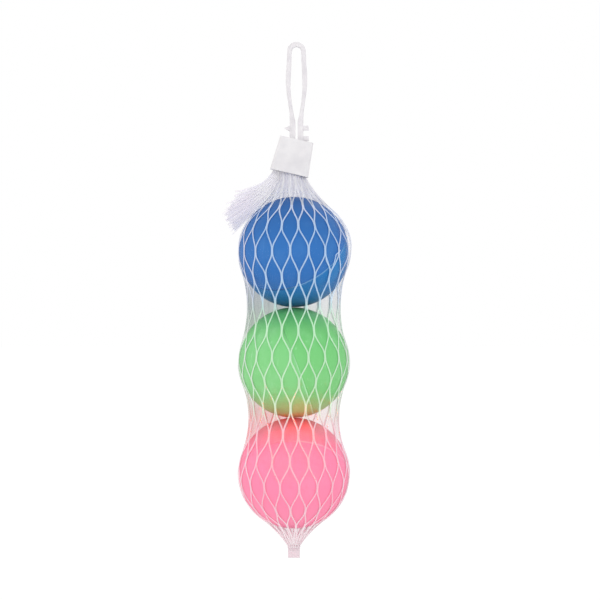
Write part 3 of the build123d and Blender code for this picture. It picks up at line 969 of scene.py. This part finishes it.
FLOOR_DROP = 0.06
FLOOR_REACH = 8
WHITE = (1, 1, 1, 1)
WHITE_SHARE = 0.92  # of the floor, for the camera: the rest takes the object's shadow
FLOOR_GLOW = 1.04  # makes up for the rest, so that the camera sees white
ROOM_LIGHT = 0.88

# Soft lights that point at the object's middle: place, size, watts and colour
SOFTBOXES = {
    "key_softbox": ((-0.9, -1.5, 0.7), 1.0, 1.8, "#FFFFFF"),
    "front_softbox": ((0.05, -1.5, -0.2), 0.4, 2.0, "#FFFFFF"),
    "fill_softbox": ((1.3, -1.2, 0.2), 1.2, 2.0, "#FFFFFF"),
    "side_softbox": ((-1.5, -0.35, -0.1), 0.8, 2.2, "#FFEFE2"),
    "back_softbox": ((0.3, 1.3, 0.7), 1.2, 6.0, "#FFFFFF"),
}
CAMERA_PLACE = (0.002, -1.2, -0.145)
VIEW_HEIGHT = 0.3438
SENSOR_MM = 36


def sees_background(material):
    """1 for rays from the camera, from gloss and from clear plastic, which see plain white."""
    path = node(material, "ShaderNodeLightPath")
    gloss = node(material, "ShaderNodeMath",
                 {0: path.outputs["Is Camera Ray"], 1: path.outputs["Is Glossy Ray"]}, operation="MAXIMUM")
    return node(material, "ShaderNodeMath",
                {0: gloss.outputs[0], 1: path.outputs["Is Transmission Ray"]}, operation="MAXIMUM").outputs[0]


floor_material = bpy.data.materials.new("white_paper_sweep")
floor_material.use_nodes = True
paper = floor_material.node_tree.nodes["Principled BSDF"]
paper.inputs["Base Color"].default_value = linear("#F4F4F4")
paper.inputs["Roughness"].default_value = 0.9
glow = node(floor_material, "ShaderNodeEmission", {"Color": WHITE, "Strength": FLOOR_GLOW})
share = node(floor_material, "ShaderNodeMath", {0: sees_background(floor_material), 1: WHITE_SHARE},
             operation="MULTIPLY")
floor_mix = node(floor_material, "ShaderNodeMixShader",
                 {0: share.outputs[0], 1: paper.outputs[0], 2: glow.outputs[0]})
floor_output = floor_material.node_tree.nodes["Material Output"]
floor_material.node_tree.links.new(floor_mix.outputs[0], floor_output.inputs["Surface"])

floor_z = cad_box[0][2] - FLOOR_DROP
corners = ((-1, -1), (1, -1), (1, 1), (-1, 1))
floor_mesh = bpy.data.meshes.new("paper_floor")
floor_mesh.from_pydata([(x * FLOOR_REACH, y * FLOOR_REACH, floor_z) for x, y in corners], [], [(0, 1, 2, 3)])
floor_mesh.materials.append(floor_material)
floor = bpy.data.objects.new("paper_floor", floor_mesh)
bpy.context.scene.collection.objects.link(floor)

world = bpy.data.worlds.new("studio")
bpy.context.scene.world = world
world.use_nodes = True
room = world.node_tree.nodes["Background"]
room.inputs["Color"].default_value = WHITE
room.inputs["Strength"].default_value = ROOM_LIGHT
backdrop = node(world, "ShaderNodeBackground", {"Color": WHITE, "Strength": 1.0})
room_mix = node(world, "ShaderNodeMixShader",
                {0: sees_background(world), 1: room.outputs[0], 2: backdrop.outputs[0]})
world.node_tree.links.new(room_mix.outputs[0], world.node_tree.nodes["World Output"].inputs["Surface"])


def add_softbox(name, place, aim, size, power, colour, spread=180):
    """A square soft light that points at a spot, with its beam's spread in degrees."""
    light = bpy.data.lights.new(name, "AREA")
    light.shape = "SQUARE"
    light.size = size
    light.energy = power
    light.color = linear(colour)[:3]
    light.spread = math.radians(spread)
    lamp = bpy.data.objects.new(name, light)
    lamp.location = place
    lamp.rotation_mode = "QUATERNION"
    lamp.rotation_quaternion = (Vector(aim) - Vector(place)).to_track_quat("-Z", "Y")
    bpy.context.scene.collection.objects.link(lamp)


middle = (0, 0, (cad_box[0][2] + cad_box[1][2]) / 2)
for name, (place, size, power, colour) in SOFTBOXES.items():
    add_softbox(name, place, middle, size, power, colour)
# A narrow red beam on the pink ball's top gives it the glow of red light between the balls.
pink_top = (axis_x * MM, -0.012, (ball_z[2] + 23) * MM)
add_softbox("red_bounce_card", (0, -0.5, -0.24), pink_top, 0.03, 0.0035, "#FF3020", 5)

camera_data = bpy.data.cameras.new("camera")
camera_data.sensor_width = SENSOR_MM
camera_data.lens = SENSOR_MM * -CAMERA_PLACE[1] / VIEW_HEIGHT
camera = bpy.data.objects.new("camera", camera_data)
camera.location = CAMERA_PLACE
camera.rotation_euler = (math.pi / 2, 0, 0)
bpy.context.scene.collection.objects.link(camera)
bpy.context.scene.camera = camera
bpy.context.scene.view_settings.view_transform = "Standard"
# Rays pass through many layers of clear strands and skins before they end.
bpy.context.scene.cycles.transparent_max_bounces = 32
